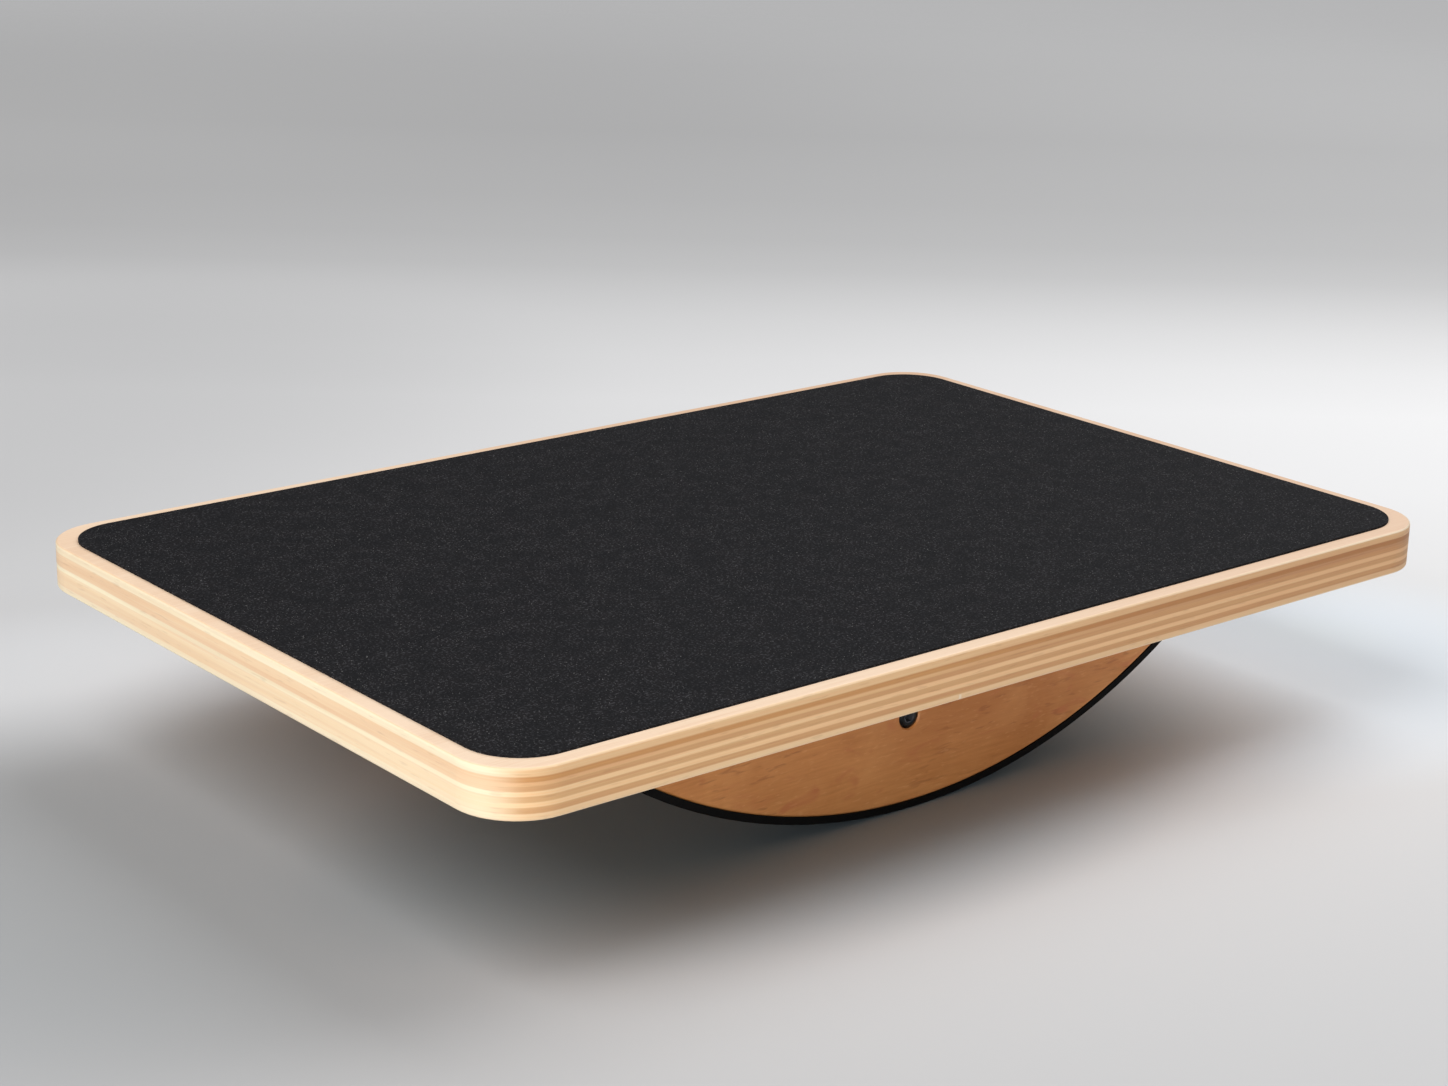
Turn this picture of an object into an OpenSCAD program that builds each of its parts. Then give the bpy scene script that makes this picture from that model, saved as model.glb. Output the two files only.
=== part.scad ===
// Rocker balance board: a plywood deck on two curved wooden rockers.
// X runs along the deck, Y across it and Z up. The origin is on the floor
// under the middle of the deck, with the board level on its two treads.

/* [Deck] */
// Length of the deck
deck_len = 450; // [400:1:600]
// Width of the deck
deck_wid = 300; // [250:1:380]
// Thickness of the plywood
deck_t = 17.5; // [14:0.5:24]
// Radius of the four corners seen from above
deck_corner_r = 23; // [8:1:60]
// Round-over along the top and bottom rims
deck_edge_r = 1; // [0.5:0.25:5]

/* [Grip sheet] */
// Bare wood left around the sheet
grip_border = 6.6; // [3:0.2:20]
// Radius of the sheet's four corners
grip_corner_r = 21; // [4:1:60]
// Thickness of the sheet
grip_t = 0.8; // [0.4:0.1:3]

/* [Rockers] */
// Thickness of one rocker
rocker_t = 18; // [15:0.5:24]
// Radius of the curved wooden edge
rocker_r = 241.5; // [200:0.5:320]
// Depth of a rocker under the deck at its middle
rocker_depth = 62; // [50:0.5:78]
// Length of a rocker between its blunt ends
rocker_len = 300; // [240:1:360]
// Distance from the long rim of the deck to the rocker's outer face
rocker_inset = 52.5; // [30:0.5:80]
// Bevel along both sides of the curved edge
rocker_bevel = 0.8; // [0.3:0.1:2]

/* [Treads] */
// Thickness of the rubber strip
tread_t = 3; // [1.5:0.5:6]
// Bevel along both sides of the strip's rolling face
tread_bevel = 0.5; // [0.2:0.1:1]

/* [Tie bar] */
// Distance of the tie bar from the middle of the board
tie_x = -6; // [-20:0.5:20]
// Height of the tie bar's axis under the deck
tie_drop = 28.5; // [22:0.5:36]
// Outer diameter of the tube
bar_d = 16; // [12:0.5:20]
// Wall of the tube
bar_wall = 2; // [1:0.25:2.5]
// Length of the threaded insert in each end of the tube
insert_len = 24; // [15:1:40]

/* [Tie bolts] */
// Thread diameter
bolt_d = 5; // [4:0.5:6]
// Length under the head
bolt_len = 30; // [24:1:36]
// Length of the threaded stretch
bolt_thread_len = 22; // [10:1:22]
// Diameter of the head
bolt_head_d = 8.5; // [7:0.1:10]
// Height of the head
bolt_head_h = 5; // [3:0.5:6]
// Bevel on the front of the head
bolt_head_bevel = 0.8; // [0.2:0.1:1]
// Bevel on the tip
bolt_tip_bevel = 0.6; // [0.3:0.1:1]
// Hexagon key size across its flats
bolt_key = 4; // [3:0.5:5]
// Depth of the key's socket
bolt_key_depth = 2.6; // [1.5:0.1:4]
// Pitch of the bolt's thread
bolt_pitch = 0.8; // [0.5:0.1:1]
// Depth of the head's front below the rocker's face
bolt_recess = 0.2; // [0:0.1:3]
// Bevel on the mouth of the head's hole
bolt_mouth_bevel = 0.6; // [0.2:0.1:1]

/* [Deck screws] */
// Screws in each rocker
screw_count = 4; // [4:2:6]
// Wood left between an outer screw's point and the curved edge
screw_cover = 10; // [4:0.5:16]
// Outer diameter of the thread
screw_d = 4.2; // [3.5:0.1:5]
// Core diameter of the thread
screw_core_d = 3; // [2.2:0.1:3.2]
// Diameter of the countersunk head
screw_head_d = 8.2; // [7:0.1:9.5]
// Height of the head's straight rim
screw_rim_h = 0.4; // [0.2:0.1:0.8]
// Length of one arm pair of the cross recess
screw_cross_len = 4.6; // [3:0.1:6]
// Width of the cross recess
screw_cross_wid = 1; // [0.6:0.1:1.5]
// Depth of the cross recess
screw_cross_depth = 2; // [1:0.1:2.5]
// Full length of a screw
screw_len = 40; // [25:1:46]
// Pitch of the screw's thread
screw_thread_pitch = 1.8; // [1.2:0.1:2.5]
// Smooth length under the head
screw_smooth_len = 13; // [8:1:18]
// Length of the point
screw_point_len = 5; // [3:0.5:8]
// Depth of a screw's head below the deck's surface
screw_sink = 0.3; // [0.1:0.1:1]

/* [Dowels] */
// Diameter of a dowel
dowel_d = 8; // [6:0.5:10]
// Length of a dowel
dowel_len = 30; // [20:1:40]
// Length of a dowel that sits in the deck
dowel_in_deck = 10; // [5:0.5:11]
// Bevel on both ends of a dowel
dowel_bevel = 0.8; // [0.3:0.1:1.5]
// Spare depth at the bottom of a dowel's hole
dowel_spare = 1; // [0.5:0.1:3]

/* [Fits] */
// Radial clearance around bolts, screws, dowels and inserts
fit = 0.1; // [0.05:0.05:0.3]
// Radial clearance around a bolt's head
head_fit = 0.45; // [0.2:0.05:1]

/* [Hidden] */
$fn = 96;
// How far a cut runs past the surface it opens
CUT = 1;
// Depth of a metric thread, as a share of its pitch, counted on the diameter
METRIC_DEPTH = 1.0825;
WOOD = "#A06A42";
PLY = "#D8AE7C";
STEEL = "#1C1D1F";

under_z = tread_t + rocker_depth;
top_z = under_z + deck_t;
rocker_mid_z = tread_t + rocker_r;
rocker_y = deck_wid / 2 - rocker_inset - rocker_t / 2;
bar_len = 2 * (rocker_y - rocker_t / 2);
bar_z = under_z - tie_drop;
cbore_d = bolt_head_d + 2 * head_fit;
cbore_depth = bolt_head_h + bolt_recess;
screw_cone_h = (screw_head_d - screw_d) / 2;
screw_top_z = top_z - screw_sink;
screw_reach_z = screw_top_z - screw_len - screw_cover;
screw_span = 2 * sqrt(pow(rocker_r, 2) - pow(rocker_mid_z - screw_reach_z, 2));
screw_pitch = screw_span / (screw_count - 1);
dowel_x = (screw_span - screw_pitch) / 2;
insert_d = bar_d - 2 * bar_wall - 2 * fit;

// Sets a piece on the front rocker's middle plane, with its outer side toward
// -Y, or its mirror image on the rear one.
module at_side(side) {
    if (side == "front")
        translate([0, -rocker_y, 0])
            children();
    else
        translate([0, rocker_y, 0])
            mirror([0, 1, 0])
                children();
}

// Screw places along one rocker, even about its middle
module screw_places() {
    for (i = [0 : screw_count - 1])
        translate([(i - (screw_count - 1) / 2) * screw_pitch, 0, 0])
            children();
}

// Dowel places, midway between the two outer screws at either end
module dowel_places() {
    for (x = [-dowel_x, dowel_x])
        translate([x, 0, 0])
            children();
}

// Half outline of a thread: crests and roots by turns, down from z0 to z1
function thread_outline(core_r, crest_r, pitch, z0, z1) = [
    for (i = [0 : floor((z0 - z1) / pitch)])
        for (point = [
            [crest_r, z0 + (0.5 - i) * pitch],
            [core_r, z0 - i * pitch]
        ]) point
];

// Cross-section of the deck's rim, from its corner centre out to the rim
module rim_section() {
    difference() {
        square([deck_corner_r, deck_t]);
        for (up = [0, 1])
            translate([deck_corner_r - deck_edge_r, up * (deck_t - deck_edge_r)])
                difference() {
                    square([deck_edge_r + CUT, deck_edge_r]);
                    translate([0, (1 - up) * deck_edge_r])
                        circle(r = deck_edge_r);
                }
    }
}

// A straight stretch of rim along X, with its outer side toward +Y
module straight_rim(length) {
    rotate([90, 0, 90])
        translate([0, 0, -length / 2])
            linear_extrude(length)
                rim_section();
}

// The plain deck: a middle block, four straight rims and four turned corners
module deck_blank() {
    inner_x = deck_len / 2 - deck_corner_r;
    inner_y = deck_wid / 2 - deck_corner_r;
    translate([-inner_x, -inner_y, 0])
        cube([2 * inner_x, 2 * inner_y, deck_t]);
    for (turn = [0, 180])
        rotate([0, 0, turn]) {
            translate([0, inner_y, 0])
                straight_rim(2 * inner_x);
            translate([inner_x, 0, 0])
                rotate([0, 0, -90])
                    straight_rim(2 * inner_y);
            translate([inner_x, inner_y, 0])
                rotate_extrude(angle = 90)
                    rim_section();
            translate([-inner_x, inner_y, 0])
                rotate([0, 0, 90])
                    rotate_extrude(angle = 90)
                        rim_section();
        }
}

// Through hole and countersink for one deck screw, from the deck's top down
module screw_hole() {
    bore_d = screw_d + 2 * fit;
    sink_d = screw_head_d + 2 * fit;
    translate([0, 0, screw_top_z - screw_len - fit])
        cylinder(d = bore_d, h = screw_len);
    translate([0, 0, screw_top_z - screw_rim_h - screw_cone_h - fit])
        cylinder(d1 = bore_d, d2 = sink_d, h = screw_cone_h);
    translate([0, 0, screw_top_z - screw_rim_h - fit])
        cylinder(d = sink_d, h = screw_rim_h + fit + screw_sink + CUT);
}

// Blind hole for one dowel, through the joint between deck and rocker
module dowel_hole() {
    translate([0, 0, under_z + dowel_in_deck - dowel_len - dowel_spare])
        cylinder(d = dowel_d + 2 * fit, h = dowel_len + 2 * dowel_spare);
}

module deck_panel() {
    color(PLY)
        difference() {
            translate([0, 0, under_z])
                deck_blank();
            for (side = ["front", "rear"])
                at_side(side) {
                    screw_places()
                        screw_hole();
                    dowel_places()
                        dowel_hole();
                }
        }
}

module grip_sheet() {
    sheet_len = deck_len - 2 * grip_border;
    sheet_wid = deck_wid - 2 * grip_border;
    inner_x = sheet_len / 2 - grip_corner_r;
    inner_y = sheet_wid / 2 - grip_corner_r;
    color("#2E2D2F")
        translate([0, 0, top_z])
            linear_extrude(grip_t)
                union() {
                    square([sheet_len, 2 * inner_y], center = true);
                    square([2 * inner_x, sheet_wid], center = true);
                    for (x = [-inner_x, inner_x], y = [-inner_y, inner_y])
                        translate([x, y])
                            circle(r = grip_corner_r);
                }
}

// Half outline of a wheel about its axle, with both rims bevelled
function wheel_outline(r_in, r_out, width, bevel) = [
    [r_in, 0], [r_out - bevel, 0], [r_out, bevel],
    [r_out, width - bevel], [r_out - bevel, width], [r_in, width]
];

// The part of a wheel that lies under the deck, between the blunt ends
module rocker_arc(r_in, r_out, bevel) {
    intersection() {
        translate([0, -rocker_t / 2, rocker_mid_z])
            rotate([-90, 0, 0])
                rotate_extrude($fn = 360)
                    polygon(wheel_outline(r_in, r_out, rocker_t, bevel));
        translate([-rocker_len / 2, -rocker_t, -CUT])
            cube([rocker_len, 2 * rocker_t, under_z + CUT]);
    }
}

// Hole for a tie bolt, along Y from the rocker's outer face at y = 0
module bolt_hole() {
    rotate([-90, 0, 0]) {
        translate([0, 0, -CUT])
            cylinder(d = cbore_d, h = cbore_depth + CUT);
        cylinder(d = bolt_d + 2 * fit, h = rocker_t + CUT);
        cylinder(d1 = cbore_d + 2 * bolt_mouth_bevel, d2 = cbore_d, h = bolt_mouth_bevel);
    }
}

module rocker(side) {
    color(WOOD)
        at_side(side)
            difference() {
                rocker_arc(0, rocker_r, rocker_bevel);
                screw_places()
                    screw_hole();
                dowel_places()
                    dowel_hole();
                translate([tie_x, -rocker_t / 2, bar_z])
                    bolt_hole();
            }
}

module tread(side) {
    color("#111213")
        at_side(side)
            rocker_arc(rocker_r, rocker_r + tread_t, tread_bevel);
}

module tie_bar() {
    color(STEEL)
        translate([tie_x, 0, bar_z])
            rotate([90, 0, 0])
                difference() {
                    cylinder(d = bar_d, h = bar_len, center = true);
                    cylinder(d = bar_d - 2 * bar_wall, h = bar_len + 2 * CUT, center = true);
                }
}

module bar_insert(side) {
    color("#8C8E90")
        at_side(side)
            translate([tie_x, rocker_t / 2, bar_z])
                rotate([-90, 0, 0])
                    difference() {
                        cylinder(d = insert_d, h = insert_len);
                        translate([0, 0, -CUT])
                            cylinder(d = bolt_d + 2 * fit, h = insert_len + 2 * CUT);
                    }
}

// Hexagon socket bolt along Y, its head's front at y = 0
module tie_bolt_shape() {
    core_r = (bolt_d - METRIC_DEPTH * bolt_pitch) / 2;
    end = bolt_head_h + bolt_len;
    rotate([90, 0, 0])
        difference() {
            rotate_extrude()
                polygon(concat(
                    [
                        [0, 0],
                        [bolt_head_d / 2 - bolt_head_bevel, 0],
                        [bolt_head_d / 2, -bolt_head_bevel],
                        [bolt_head_d / 2, -bolt_head_h],
                        [bolt_d / 2, -bolt_head_h]
                    ],
                    thread_outline(
                        core_r, bolt_d / 2, bolt_pitch,
                        bolt_thread_len - end, bolt_tip_bevel - end
                    ),
                    [[core_r - bolt_tip_bevel, -end], [0, -end]]
                ));
            translate([0, 0, -bolt_key_depth])
                cylinder(d = bolt_key / cos(30), h = bolt_key_depth + CUT, $fn = 6);
        }
}

module tie_bolt(side) {
    color(STEEL)
        at_side(side)
            translate([tie_x, bolt_recess - rocker_t / 2, bar_z])
                tie_bolt_shape();
}

// Countersunk wood screw pointing down, the flat of its head at z = 0
module screw_shape() {
    difference() {
        rotate_extrude($fn = 48)
            polygon(concat(
                [
                    [0, 0],
                    [screw_head_d / 2, 0],
                    [screw_head_d / 2, -screw_rim_h],
                    [screw_d / 2, -screw_rim_h - screw_cone_h]
                ],
                thread_outline(
                    screw_core_d / 2, screw_d / 2, screw_thread_pitch,
                    -screw_smooth_len, -screw_len + screw_point_len
                ),
                [[0, -screw_len]]
            ));
        for (turn = [0, 90])
            rotate([0, 0, turn])
                translate([0, 0, CUT / 2 - screw_cross_depth / 2])
                    cube([screw_cross_len, screw_cross_wid, screw_cross_depth + CUT], center = true);
    }
}

module deck_screws(side) {
    color("#B9B5A6")
        at_side(side)
            screw_places()
                translate([0, 0, screw_top_z])
                    screw_shape();
}

module dowel_shape() {
    r = dowel_d / 2;
    rotate_extrude()
        polygon([
            [0, 0], [r - dowel_bevel, 0], [r, dowel_bevel],
            [r, dowel_len - dowel_bevel], [r - dowel_bevel, dowel_len], [0, dowel_len]
        ]);
}

module dowels(side) {
    color("#C79A66")
        at_side(side)
            dowel_places()
                translate([0, 0, under_z + dowel_in_deck - dowel_len])
                    dowel_shape();
}

deck_panel();
grip_sheet();
rocker("front");  // front_rocker
rocker("rear");  // rear_rocker
tread("front");  // front_tread
tread("rear");  // rear_tread
tie_bar();
bar_insert("front");  // front_bar_insert
bar_insert("rear");  // rear_bar_insert
tie_bolt("front");  // front_tie_bolt
tie_bolt("rear");  // rear_tie_bolt
deck_screws("front");  // front_deck_screws
deck_screws("rear");  // rear_deck_screws
dowels("front");  // front_dowels
dowels("rear");  // rear_dowels
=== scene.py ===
import math

import bpy
from mathutils import Matrix, Vector


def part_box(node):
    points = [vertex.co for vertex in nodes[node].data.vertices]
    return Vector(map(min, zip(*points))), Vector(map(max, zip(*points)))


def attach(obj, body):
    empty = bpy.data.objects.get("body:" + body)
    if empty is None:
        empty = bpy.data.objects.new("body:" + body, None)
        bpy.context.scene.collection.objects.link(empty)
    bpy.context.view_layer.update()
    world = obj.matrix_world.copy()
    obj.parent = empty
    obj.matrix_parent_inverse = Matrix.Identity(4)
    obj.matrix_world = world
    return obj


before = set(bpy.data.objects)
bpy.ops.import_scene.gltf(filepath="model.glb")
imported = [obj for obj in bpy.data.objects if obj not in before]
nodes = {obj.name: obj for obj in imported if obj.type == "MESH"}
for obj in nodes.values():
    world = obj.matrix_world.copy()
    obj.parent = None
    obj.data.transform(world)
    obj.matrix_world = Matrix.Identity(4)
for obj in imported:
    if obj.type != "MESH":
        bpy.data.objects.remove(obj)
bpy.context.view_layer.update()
scene = bpy.context.scene
deckLow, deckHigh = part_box("deck_panel")
sheetLow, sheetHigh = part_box("grip_sheet")
print("frame loaded:", len(nodes), "nodes")


def shade(red, green, blue):  # a colour as seen on a screen, 0 to 255, as linear light
    levels = [level / 255 for level in (red, green, blue)]
    return tuple(c / 12.92 if c <= 0.0393 else ((c + 0.055) / 1.055) ** 2.4 for c in levels) + (1,)


class Flow:  # a node's socket that adds and multiplies like a number
    def __init__(self, graph, socket):
        self.graph, self.socket = graph, socket

    def __add__(self, other):
        return self.graph.maths("ADD", self, other)

    def __sub__(self, other):
        return self.graph.maths("SUBTRACT", self, other)

    def __rsub__(self, other):
        return self.graph.maths("SUBTRACT", other, self)

    def __mul__(self, other):
        return self.graph.maths("MULTIPLY", self, other)

    def __truediv__(self, other):
        return self.graph.maths("DIVIDE", self, other)

    def __pow__(self, other):
        return self.graph.maths("POWER", self, other)

    def __abs__(self):
        return self.graph.maths("ABSOLUTE", self)

    __radd__ = __add__
    __rmul__ = __mul__


class Graph:  # a node tree and the calls that add to it
    def __init__(self, tree):
        self.tree = tree

    def node(self, kind, settings=None, values=None, output=0):
        made = self.tree.nodes.new(kind)
        for name, setting in (settings or {}).items():
            if name == "stops":
                while len(made.color_ramp.elements) < len(setting):
                    made.color_ramp.elements.new(1)
                for element, (position, colour) in zip(made.color_ramp.elements, setting):
                    element.position, element.color = position, colour
            else:
                setattr(made, name, setting)
        self.feed(made, values or {})
        return Flow(self, made.outputs[output])

    def feed(self, made, values):
        for name, value in values.items():
            if isinstance(value, Flow):
                self.tree.links.new(value.socket, made.inputs[name])
            else:
                made.inputs[name].default_value = value

    def maths(self, operation, *terms):
        return self.node("ShaderNodeMath", {"operation": operation}, dict(enumerate(terms)))

    def rise(self, value, start, end):  # 0 below start, 1 above end, smooth between
        values = {"Value": value, "From Min": start, "From Max": end}
        return self.node("ShaderNodeMapRange", {"interpolation_type": "SMOOTHSTEP"}, values)


class Finish(Graph):  # one material
    def __init__(self, name):
        self.material = bpy.data.materials.new(name)
        self.material.use_nodes = True
        super().__init__(self.material.node_tree)
        self.shader = self.tree.nodes["Principled BSDF"]

    def mix(self, factor, low, high, blend="MIX"):
        settings = {"data_type": "RGBA", "blend_type": blend, "clamp_result": True}
        return self.node("ShaderNodeMix", settings, {0: factor, 6: low, 7: high}, 2)

    def place(self, stretch=(1, 1, 1), turn=(0, 0, 0), shift=(0, 0, 0)):
        where = self.node("ShaderNodeTexCoord", output="Object")
        values = {"Vector": where, "Location": shift, "Rotation": turn, "Scale": stretch}
        return self.node("ShaderNodeMapping", values=values)

    def noise(self, stretch, detail=2.0, rough=0.5, warp=0.0, turn=(0, 0, 0), shift=(0, 0, 0)):
        values = {
            "Vector": self.place(stretch, turn, shift),
            "Scale": 1.0,
            "Detail": detail,
            "Roughness": rough,
            "Distortion": warp,
        }
        return self.node("ShaderNodeTexNoise", values=values)

    def parts(self, vector):
        split = self.node("ShaderNodeSeparateXYZ", values={0: vector}).socket.node
        return [Flow(self, split.outputs[i]) for i in range(3)]

    def normal(self):  # the way the surface faces, along each axis
        return self.parts(self.node("ShaderNodeNewGeometry", output="Normal"))

    def bump(self, height, depth, strength=1.0):  # depth in metres
        values = {"Height": height, "Distance": depth, "Strength": strength}
        return self.node("ShaderNodeBump", values=values)

    def finish(self, **values):
        self.feed(self.shader, {name.replace("_", " "): value for name, value in values.items()})
        return self.material


# Nine plies from the top: thickness in millimetres, tone on the long sides, tone on the ends
plywood = {
    "plies": [
        (2.9, "straw", "cream"), (1.8, "brown", "tan"), (1.2, "honey", "tan"),
        (1.8, "amber", "tan"), (1.6, "blond", "cream"), (2.0, "tea", "oat"),
        (1.6, "blond", "oat"), (2.0, "amber", "oat"), (2.6, "pale", "cream"),
    ],
    "straw": shade(243, 201, 155),
    "brown": shade(210, 156, 101),
    "honey": shade(236, 188, 140),
    "tea": shade(222, 175, 127),
    "amber": shade(217, 168, 120),
    "pale": shade(248, 211, 168),
    "blond": shade(252, 208, 161),
    "cream": shade(255, 239, 208),
    "tan": shade(247, 214, 179),
    "oat": shade(250, 223, 189),
    "face": shade(255, 227, 198),
    "faceGrain": shade(246, 211, 178),
    # painted highlight along the deck's rounded top and bottom edges
    "arrisHighlight": shade(255, 240, 214),
    "darkStreak": shade(150, 112, 78),
    "paleStreak": shade(255, 246, 230),
    "drift": shade(206, 140, 92),
    "dash": shade(150, 96, 56),
    "rightCore": shade(176, 116, 68),  # plies 2 to 4, toward the right end
    "joint": shade(255, 236, 212),
    # painted shade: the deck is painted darker and more orange toward its right end
    "shadeTowardRight": (0.86, 0.79, 0.75, 1),
    "jointX": -0.0335,
}

plywoodDeep = sum(ply[0] for ply in plywood["plies"])


def plyRamp(f, share, side):  # each ply's tone by its share of the depth
    stops, top, blur = [], 0.0, 0.18
    for ply in plywood["plies"]:
        tone = plywood[ply[side]]
        stops.append(((top + blur) / plywoodDeep, tone))
        stops.append(((top + ply[0] - blur) / plywoodDeep, tone))
        top += ply[0]
    return f.node("ShaderNodeValToRGB", {"stops": stops}, {0: share})


def plywoodFinish():
    f = Finish("birch_plywood")
    x, _, z = f.parts(f.place())
    nx, _, nz = f.normal()
    wave = (f.noise((9, 9, 1), 1) - 0.5) * 0.0006 + (f.noise((60, 60, 60), 2) - 0.5) * 0.00016
    share = (deckHigh.z - z + wave) / (deckHigh.z - deckLow.z)
    end = f.rise(abs(nx), 0.45, 0.95)
    rim = f.mix(end, plyRamp(f, share, 1), plyRamp(f, share, 2))
    streak = f.noise((14, 14, 1900), 3, 0.6)
    rim = f.mix(0.3, rim, f.mix(streak, plywood["darkStreak"], plywood["paleStreak"]), "OVERLAY")
    drift = f.rise(f.noise((7, 7, 320), 2, 0.5, 0.4), 0.35, 0.65)
    stained = f.mix(0.5, rim, plywood["drift"], "MULTIPLY")
    rim = f.mix(drift * (0.18 + 0.14 * end), rim, stained)
    darker = f.rise(x, -0.1, 0.2) * f.rise(share, 0.15, 0.18) * (1 - f.rise(share, 0.32, 0.35))
    rim = f.mix(darker * 0.5, rim, plywood["rightCore"])
    dashes = f.rise(f.noise((110, 110, 1100), 1), 0.62, 0.76)
    rim = f.mix(dashes * 0.14, rim, plywood["dash"])
    joint = (1 - f.rise(abs(x - plywood["jointX"]), 0.0004, 0.0007)) * f.rise(share, 0.86, 0.88)
    rim = f.mix(joint * 0.7, rim, plywood["joint"])
    figure = f.noise((3, 30, 30), 2, 0.5, 0.6)
    fibre = f.noise((40, 1500, 1500), 3, 0.6)
    face = f.mix(f.rise(figure * 0.55 + fibre * 0.45, 0.35, 0.65), plywood["face"], plywood["faceGrain"])
    faceMask = f.rise(abs(nz), 0.8, 0.97)
    base = f.mix(faceMask, rim, face)
    # painted highlight: a pale line on the rounded edges, stronger toward the right end
    arrisHighlight = f.rise(abs(nz), 0.15, 0.5) * (1 - f.rise(abs(nz), 0.8, 0.99))
    # painted shade: the whole deck, faces and rims, darkens toward the right end
    base = f.mix(f.rise(x, -0.2, 0.22), base, plywood["shadeTowardRight"], "MULTIPLY")
    base = f.mix(arrisHighlight * (0.25 + 0.45 * f.rise(x, 0.02, 0.2)), base, plywood["arrisHighlight"])
    relief = fibre * faceMask + streak * (1 - faceMask)
    return f.finish(Base_Color=base, Roughness=0.46 + streak * 0.12, Normal=f.bump(relief, 0.00012, 0.5))


rockerWood = {
    "light": shade(214, 146, 84),
    "dark": shade(188, 120, 62),
    "fleck": shade(150, 82, 42),
    "flame": shade(226, 162, 100),
    "blush": shade(192, 112, 66),
    "ray": shade(236, 180, 124),
    # painted shade on the bolt hole's wall
    "boreShade": shade(52, 32, 20),
}


def fromBolt(f):  # how far a point is from the tie bolts' line
    low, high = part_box("front_tie_bolt")
    x, _, z = f.parts(f.place())
    return ((x - (low.x + high.x) / 2) ** 2 + (z - (low.z + high.z) / 2) ** 2) ** 0.5


def rockerFinish():
    f = Finish("rocker_maple")
    broad = f.noise((8, 30, 22), 2, 0.5, 0.6, turn=(0, 0.06, 0))
    fibre = f.noise((60, 900, 900), 3, 0.6, turn=(0, 0.04, 0))
    base = f.mix(f.rise(broad * 0.7 + fibre * 0.3, 0.34, 0.68), rockerWood["light"], rockerWood["dark"])
    flame = f.rise(f.noise((26, 20, 34), 3, 0.6, 1.2, turn=(0, 0.25, 0), shift=(4, 0, 2)), 0.36, 0.76)
    base = f.mix(flame * 0.4, base, rockerWood["flame"])
    blush = f.rise(f.noise((55, 60, 130), 2, 0.5, 0.8, turn=(0, 0.12, 0), shift=(1, 5, 3)), 0.58, 0.76)
    base = f.mix(blush * 0.75, base, rockerWood["blush"])
    sparse = f.rise(f.noise((16, 16, 30), 1), 0.4, 0.6)
    fleck = f.rise(f.noise((120, 600, 640), 1, 0.5, 0.3, turn=(0, 0.1, 0)), 0.6, 0.76) * sparse
    base = f.mix(fleck * 0.42, base, rockerWood["fleck"])
    ray = f.rise(f.noise((260, 900, 1100), 1, 0.5, 0.2, turn=(0, 0.1, 0), shift=(2, 2, 8)), 0.6, 0.78)
    base = f.mix(ray * 0.22, base, rockerWood["ray"])
    _, ny, _ = f.normal()
    # painted shade: the bolt hole's wall in the rocker is painted dark brown
    boreShade = (1 - f.rise(fromBolt(f), 0.0048, 0.0051)) * (1 - f.rise(abs(ny), 0.2, 0.4))
    base = f.mix(boreShade * 0.8, base, rockerWood["boreShade"])
    return f.finish(Base_Color=base, Roughness=0.42 + fibre * 0.14, Normal=f.bump(fibre, 0.0001, 0.4))


grip = {
    "base": shade(29, 29, 32),
    "dark": shade(12, 12, 15),
    "speck": shade(84, 84, 88),
    "grain": shade(50, 49, 50),
    "paleGrain": shade(92, 91, 90),
    "worn": shade(48, 42, 42),
}


def gripFinish():
    f = Finish("grit_sheet")
    fine = f.noise((1500, 1500, 1500), 2, 0.6)
    patch = f.noise((110, 110, 110), 3, 0.6)
    base = f.mix(f.rise(fine, 0.3, 0.7), grip["dark"], grip["base"])
    speck = f.rise(f.noise((1150, 1150, 1150), 1, shift=(3, 7, 1)), 0.54, 0.7)
    speck = speck * (0.4 + 0.6 * f.rise(patch, 0.35, 0.65))
    base = f.mix(speck * 0.55, base, grip["speck"])
    base = f.mix(f.rise(patch, 0.3, 0.75) * 0.14, base, grip["worn"])
    f.shader.inputs["Specular IOR Level"].default_value = 0.12
    return f.finish(Base_Color=base, Roughness=0.75 + fine * 0.2, Normal=f.bump(fine, 0.0003, 0.6))


def grainFinish():
    f = Finish("grit_grains")
    tint = f.noise((700, 700, 700), 1)
    base = f.mix(f.rise(tint, 0.45, 0.7), grip["grain"], grip["paleGrain"])
    return f.finish(Base_Color=base, Roughness=0.4 + tint * 0.2, Normal=f.bump(tint, 0.0001, 0.3))


rubber = {"base": shade(5, 5, 5), "dust": shade(16, 15, 14)}


def rubberFinish():
    f = Finish("tread_rubber")
    grain = f.noise((900, 900, 900), 2, 0.6)
    dust = f.rise(f.noise((40, 40, 40), 3, 0.6), 0.5, 0.75)
    base = f.mix(dust * 0.3, rubber["base"], rubber["dust"])
    f.shader.inputs["Specular IOR Level"].default_value = 0.15
    return f.finish(Base_Color=base, Roughness=0.6 + grain * 0.2, Normal=f.bump(grain, 0.0001, 0.5))


metals = {  # colour, metallic, roughness
    "blackSteel": (shade(24, 25, 27), 0.6, 0.4),
    "plainSteel": (shade(190, 190, 188), 1.0, 0.3),
    "zincSteel": (shade(200, 202, 206), 1.0, 0.34),
}
tarnish = shade(70, 68, 66)
# painted light: the hex socket's unlit hollow is painted a paler steel
socketLight = shade(92, 94, 100)


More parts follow.
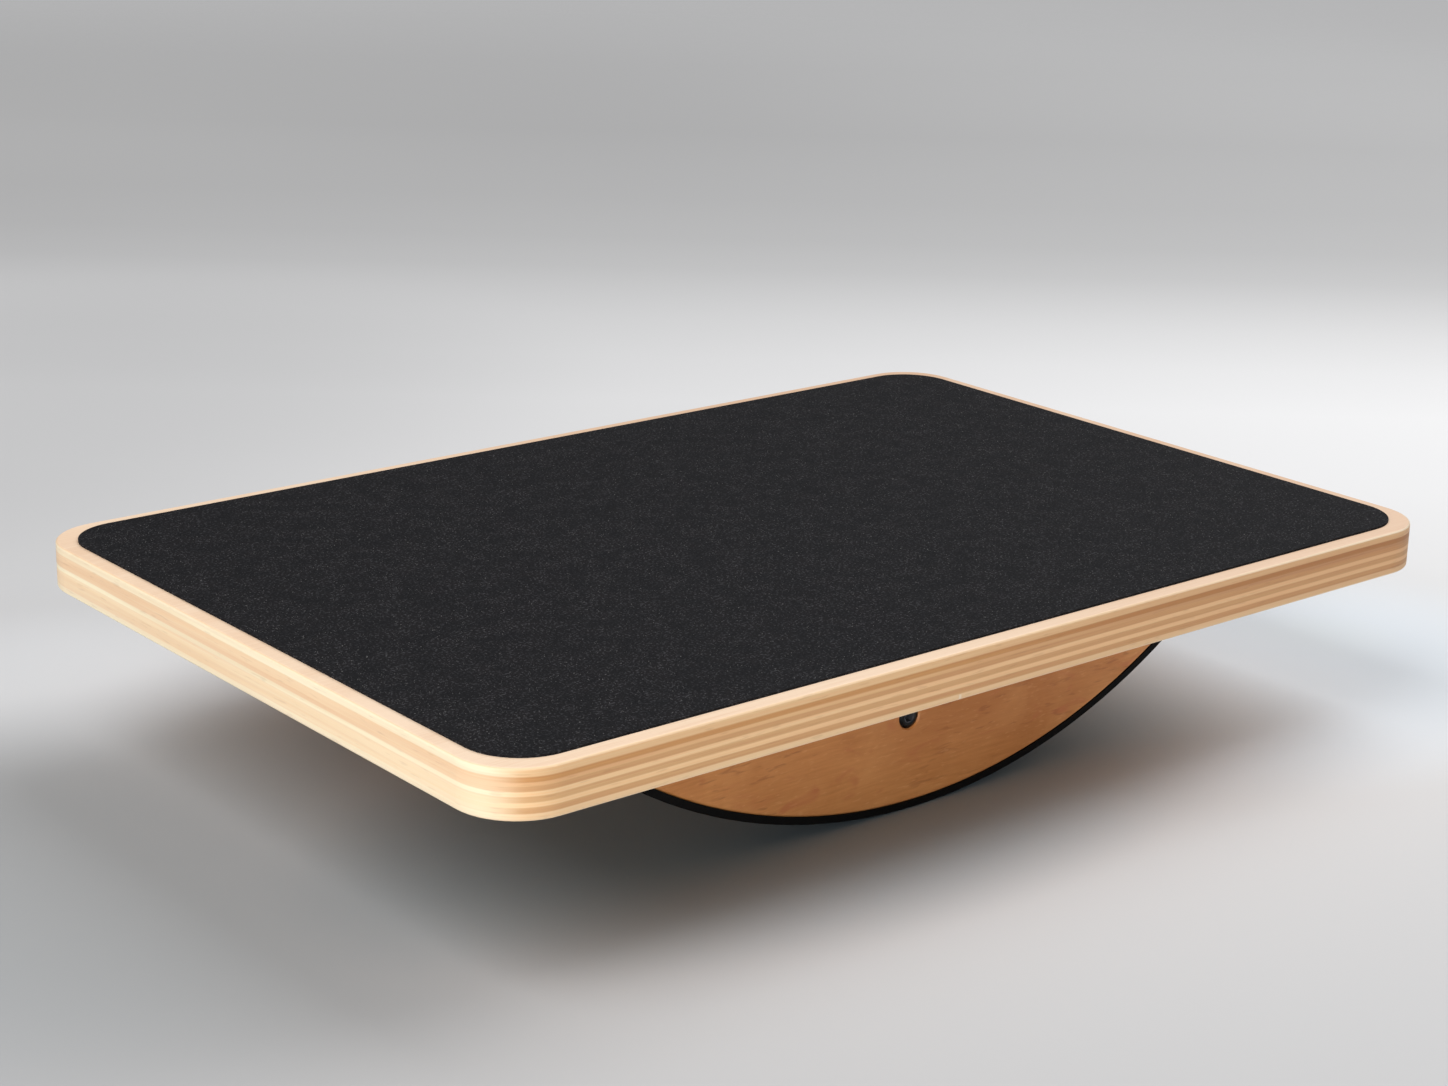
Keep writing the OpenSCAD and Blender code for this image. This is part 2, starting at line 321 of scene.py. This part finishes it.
def metalFinish(name, tone):
    colour, metallic, rough = metals[tone]
    f = Finish(name)
    cloud = f.noise((220, 220, 220), 3, 0.6)
    brushed = f.noise((90, 90, 2600), 2, 0.5)
    base = f.mix(f.rise(cloud, 0.35, 0.7) * 0.25, colour, tarnish)
    if tone == "blackSteel":
        # painted light: the tie bolt's hex socket is painted paler than the black head
        base = f.mix(1 - f.rise(fromBolt(f), 0.0022, 0.0026), base, socketLight)
    relief = f.bump(brushed, 0.00003, 0.3)
    return f.finish(Base_Color=base, Metallic=metallic, Roughness=rough + brushed * 0.14, Normal=relief)


coat = {"base": shade(30, 30, 32), "scuff": shade(44, 44, 46)}


def coatFinish():
    f = Finish("powder_coat")
    peel = f.noise((700, 700, 700), 2, 0.5)
    scuff = f.rise(f.noise((50, 50, 50), 2), 0.4, 0.7)
    base = f.mix(scuff * 0.3, coat["base"], coat["scuff"])
    return f.finish(Base_Color=base, Roughness=0.42 + peel * 0.12, Normal=f.bump(peel, 0.00015, 0.5))


beech = {"light": shade(222, 182, 138), "dark": shade(196, 150, 106)}


def dowelFinish():
    f = Finish("beech_dowel")
    fibre = f.noise((900, 900, 40), 3, 0.6)
    base = f.mix(f.rise(fibre, 0.35, 0.65), beech["light"], beech["dark"])
    return f.finish(Base_Color=base, Roughness=0.6 + fibre * 0.1, Normal=f.bump(fibre, 0.0001, 0.4))


looks = {
    "deck_panel": plywoodFinish(),
    "grip_sheet": gripFinish(),
    "rocker": rockerFinish(),
    "tread": rubberFinish(),
    "tie_bar": coatFinish(),
    "bar_insert": metalFinish("turned_steel", "plainSteel"),
    "tie_bolt": metalFinish("black_steel", "blackSteel"),
    "deck_screws": metalFinish("zinc_steel", "zincSteel"),
    "dowels": dowelFinish(),
}
for name, piece in nodes.items():
    kind = name if name in looks else name.split("_", 1)[1]
    piece.data.materials.clear()
    piece.data.materials.append(looks[kind])
print("finishes:", len(looks))


# Coarse grains on the sheet, half sunk in its face
sheetCorner = 0.021
bareEdge = 0.0015  # the sheet's rim, where no grain sits
grit = {
    "Length": sheetHigh.x - sheetLow.x - 2 * bareEdge,
    "Width": sheetHigh.y - sheetLow.y - 2 * bareEdge,
    "Corner": sheetCorner - bareEdge,
    "Height": sheetHigh.z,
    "Density": 320000.0,  # grains a square metre
    "Smallest": 0.0001,
    "Largest": 0.00028,
    "Seed": 7,
}


def gritScatter():
    g = Graph(bpy.data.node_groups.new("grit_scatter", "GeometryNodeTree"))
    kinds = {"Seed": "NodeSocketInt", "Material": "NodeSocketMaterial"}
    for name in [*grit, "Material"]:
        g.tree.interface.new_socket(name, in_out="INPUT", socket_type=kinds.get(name, "NodeSocketFloat"))
    g.tree.interface.new_socket("Geometry", in_out="OUTPUT", socket_type="NodeSocketGeometry")
    entry = g.tree.nodes.new("NodeGroupInput")
    given = {socket.name: Flow(g, socket) for socket in entry.outputs if socket.name}
    sides = {"Width": given["Length"], "Height": given["Width"]}
    outline = g.node("GeometryNodeCurvePrimitiveQuadrilateral", None, sides)
    corners = {"Curve": outline, "Count": 12, "Radius": given["Corner"]}
    outline = g.node("GeometryNodeFilletCurve", {"mode": "POLY"}, corners)
    face = g.node("GeometryNodeFillCurve", {"mode": "TRIANGLES"}, {"Curve": outline})
    patches = g.node("ShaderNodeTexNoise", None, {"Scale": 120.0, "Detail": 2.0})
    density = given["Density"] * g.rise(patches, 0.3, 0.72)
    spread = {"Mesh": face, "Density": density, "Seed": given["Seed"]}
    points = g.node("GeometryNodeDistributePointsOnFaces", None, spread)
    grain = g.node("GeometryNodeMeshUVSphere", None, {"Segments": 4, "Rings": 2, "Radius": 1.0})
    turns = {1: (6.28, 6.28, 6.28), "Seed": given["Seed"]}
    turn = g.node("FunctionNodeRandomValue", {"data_type": "FLOAT_VECTOR"}, turns)
    sizes = {2: given["Smallest"], 3: given["Largest"], "Seed": given["Seed"]}
    size = g.node("FunctionNodeRandomValue", {"data_type": "FLOAT"}, sizes, 1)
    placed = {"Points": points, "Instance": grain, "Rotation": turn, "Scale": size}
    grains = g.node("GeometryNodeInstanceOnPoints", None, placed)
    lift = g.node("ShaderNodeCombineXYZ", None, {"Z": given["Height"]})
    grains = g.node("GeometryNodeTransform", None, {"Geometry": grains, "Translation": lift})
    grains = g.node("GeometryNodeRealizeInstances", None, {"Geometry": grains})
    grains = g.node("GeometryNodeSetMaterial", None, {"Geometry": grains, "Material": given["Material"]})
    g.feed(g.tree.nodes.new("NodeGroupOutput"), {"Geometry": grains})
    return g.tree


def grownMesh(name, tree, values):  # the tree's result as a plain mesh piece
    carrier = bpy.data.objects.new("carrier", bpy.data.meshes.new("carrier"))
    scene.collection.objects.link(carrier)
    modifier = carrier.modifiers.new("grown", "NODES")
    modifier.node_group = tree
    for item in tree.interface.items_tree:
        if item.in_out == "INPUT":
            modifier[item.identifier] = values[item.name]
    carrier.data.update()
    mesh = bpy.data.meshes.new_from_object(carrier.evaluated_get(bpy.context.evaluated_depsgraph_get()))
    mesh.name = name
    bpy.data.objects.remove(carrier)
    piece = bpy.data.objects.new(name, mesh)
    scene.collection.objects.link(piece)
    return piece


grains = grownMesh("grip_grains", gritScatter(), {**grit, "Material": grainFinish()})
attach(grains, "root")
print("grains:", len(grains.data.polygons), "faces")


shot = {  # degrees and metres, and the lens in millimetres
    "azimuth": -40.06,
    "elevation": 17.62,
    "roll": 1.4,
    "distance": 1.0998,
    "aim": (-0.0094, 0.0054, 0.0764),
    "lens": 71.26,
}

studio = {
    "paintedFloorLight": [  # painted light and shade along the floor: metres behind the board, tone
        (-0.3, 0.66), (0.1, 0.8), (0.35, 0.93), (0.5, 0.96), (0.6, 0.9), (0.7, 0.8), (0.85, 0.62),
        (0.95, 0.56), (1.1, 0.53), (1.4, 0.52), (1.8, 0.59), (2.5, 0.79),
    ],
    "shadowAndLightPools": [  # painted shadows and pools of light on the floor: middle, reach, tint
        ((-0.03, -0.06), (0.21, 0.12), (0.44, 0.55, 0.61, 1)),
        ((-0.27, 0.02), (0.19, 0.19), (0.73, 0.75, 0.76, 1)),
        ((-0.19, 0.2), (0.1, 0.1), (1.12, 1.13, 1.14, 1)),
        ((0.22, -0.08), (0.16, 0.13), (1.12, 1.21, 1.29, 1)),
        ((-0.05, 0.62), (0.4, 0.3), (0.87, 0.87, 0.87, 1)),
    ],
    "fade": (1.5, 2.6),  # metres from the middle, where the floor turns into the backdrop
    "backdrop": shade(182, 182, 183),
    "tint": (0.995, 0.995, 1.005),
    "shaded": shade(120, 121, 123),
    "world": 0.12,
    "lamps": [  # name, where it stands, what it faces, width, height, watts
        ("left", (-1.39, -0.25, 1.69), (0, 0, 0.05), 1.6, 1.6, 31),
        ("right", (1.67, 0.15, 1.99), (0, 0, 0.05), 2.6, 2.6, 49),
        ("strip", (-1.73, -1.35, 0.19), (0, 0, 0.08), 1.8, 0.22, 21.5),
    ],
}


def studioFloor():
    mesh = bpy.data.meshes.new("floor")
    mesh.from_pydata([(-6, -6, 0), (6, -6, 0), (6, 6, 0), (-6, 6, 0)], [], [(0, 1, 2, 3)])
    floor = bpy.data.objects.new("floor", mesh)
    scene.collection.objects.link(floor)
    f = Finish("floor_paper")
    across, deep, _ = f.parts(f.place(turn=(0, 0, math.radians(-shot["azimuth"]))))
    # the floor's colour ramp holds painted light and shade, brightest just behind the board
    near, far = studio["paintedFloorLight"][0][0], studio["paintedFloorLight"][-1][0]
    stops = []
    for distance, tone in studio["paintedFloorLight"]:
        colour = tuple(tone * part for part in studio["tint"]) + (1,)
        stops.append(((distance - near) / (far - near), colour))
    tone = f.node("ShaderNodeValToRGB", {"stops": stops}, {0: (deep - near) / (far - near)})
    darker = (1 - f.rise(across, -0.4, 0.45)) * (1 - f.rise(deep, 0.5, 1.0))
    tone = f.mix(darker * 0.3, tone, studio["shaded"])
    # painted light: the floor is painted paler far back on the left
    paintedLightFarLeft = (1 - f.rise(across, -0.9, 0)) * f.rise(deep, 0.8, 1.4)
    tone = f.mix(paintedLightFarLeft * 0.3, tone, (1, 1, 1, 1))
    x, y, _ = f.parts(f.place())
    # painted shadows under the board and painted pools of light around it, multiplied into the floor's
    # colour
    for middle, reach, tint in studio["shadowAndLightPools"]:
        away = ((x - middle[0]) / reach[0]) ** 2 + ((y - middle[1]) / reach[1]) ** 2
        tone = f.mix(1 - f.rise(away, 0, 1.1), tone, tint, "MULTIPLY")
    paper = f.noise((900, 900, 900), 2, 0.6)
    f.finish(Base_Color=tone, Roughness=0.85 + paper * 0.1, Normal=f.bump(paper, 0.00005, 0.2))
    back = f.node("ShaderNodeNewGeometry", output="Backfacing")
    away = f.rise((x ** 2 + y ** 2) ** 0.5, studio["fade"][0], studio["fade"][1])
    clear = f.node("ShaderNodeBsdfTransparent")
    hidden = f.maths("MAXIMUM", back, away)
    shown = f.node("ShaderNodeMixShader", values={0: hidden, 1: Flow(f, f.shader.outputs[0]), 2: clear})
    f.feed(f.tree.nodes["Material Output"], {"Surface": shown})
    mesh.materials.append(f.material)


def studioLamps():
    for name, where, target, width, height, watts in studio["lamps"]:
        lamp = bpy.data.lights.new(name, "AREA")
        lamp.shape = "RECTANGLE"
        lamp.size, lamp.size_y, lamp.energy = width, height, watts
        holder = bpy.data.objects.new(name, lamp)
        holder.location = where
        holder.rotation_euler = (Vector(target) - Vector(where)).to_track_quat("-Z", "Y").to_euler()
        scene.collection.objects.link(holder)
    world = bpy.data.worlds.new("studio")
    world.use_nodes = True
    g = Graph(world.node_tree)
    seen = g.node("ShaderNodeLightPath", output="Is Camera Ray")
    glow = g.node("ShaderNodeBackground", values={"Color": (1, 1, 1, 1), "Strength": studio["world"]})
    backdrop = g.node("ShaderNodeBackground", values={"Color": studio["backdrop"], "Strength": 1.0})
    both = g.node("ShaderNodeMixShader", values={0: seen, 1: glow, 2: backdrop})
    g.feed(world.node_tree.nodes["World Output"], {"Surface": both})
    scene.world = world


studioFloor()
studioLamps()


def shotCamera():
    turn, rise = math.radians(shot["azimuth"]), math.radians(shot["elevation"])
    back = Vector((math.sin(turn) * math.cos(rise), -math.cos(turn) * math.cos(rise), math.sin(rise)))
    level = (-back).to_track_quat("-Z", "Y").to_matrix()
    lens = bpy.data.cameras.new("shot")
    lens.lens, lens.sensor_width = shot["lens"], 36
    lens.clip_start, lens.clip_end = 0.05, 50
    camera = bpy.data.objects.new("shot", lens)
    camera.matrix_world = Matrix.Translation(Vector(shot["aim"]) + back * shot["distance"]) @ (
        level @ Matrix.Rotation(math.radians(shot["roll"]), 3, "Z")
    ).to_4x4()
    scene.collection.objects.link(camera)
    scene.camera = camera


shotCamera()
scene.view_settings.view_transform = "Standard"
print("camera and lamps set")
